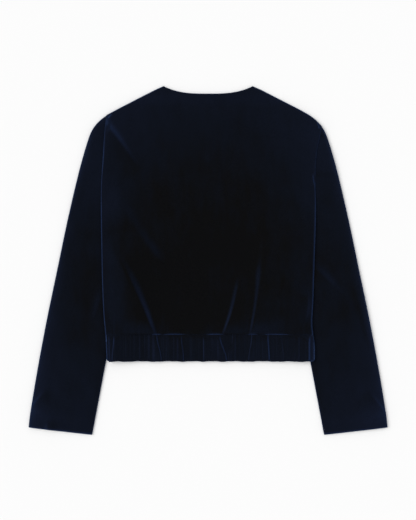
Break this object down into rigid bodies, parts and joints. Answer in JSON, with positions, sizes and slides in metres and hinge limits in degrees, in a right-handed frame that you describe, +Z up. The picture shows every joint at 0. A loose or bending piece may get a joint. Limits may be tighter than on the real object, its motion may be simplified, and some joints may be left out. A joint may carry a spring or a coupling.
{
  "type": "cropped velvet jacket, laid flat",
  "caption": "Cropped long-sleeved velvet jacket with a gathered elastic hem band, laid flat on its front with its back panel uppermost.",
  "frame": {"origin": "on the surface it lies on, under the middle of its outline", "axes": "+X towards the wearer's right sleeve, +Y from hem to neck, +Z up from the surface it lies on"},
  "size_m": [0.7004, 0.68, 0.0111],
  "materials": {
    "velvet": "deep navy velvet with a blue sheen on folds and edges",
    "band_velvet": "the same navy velvet, gathered over elastic"
  },
  "bodies": {
    "root": {"back": "velvet", "front_left": "velvet", "front_right": "velvet", "sleeve_left": "velvet", "sleeve_right": "velvet", "band_back": "band_velvet", "band_front_left": "band_velvet", "band_front_right": "band_velvet"}
  },
  "joints": []
}
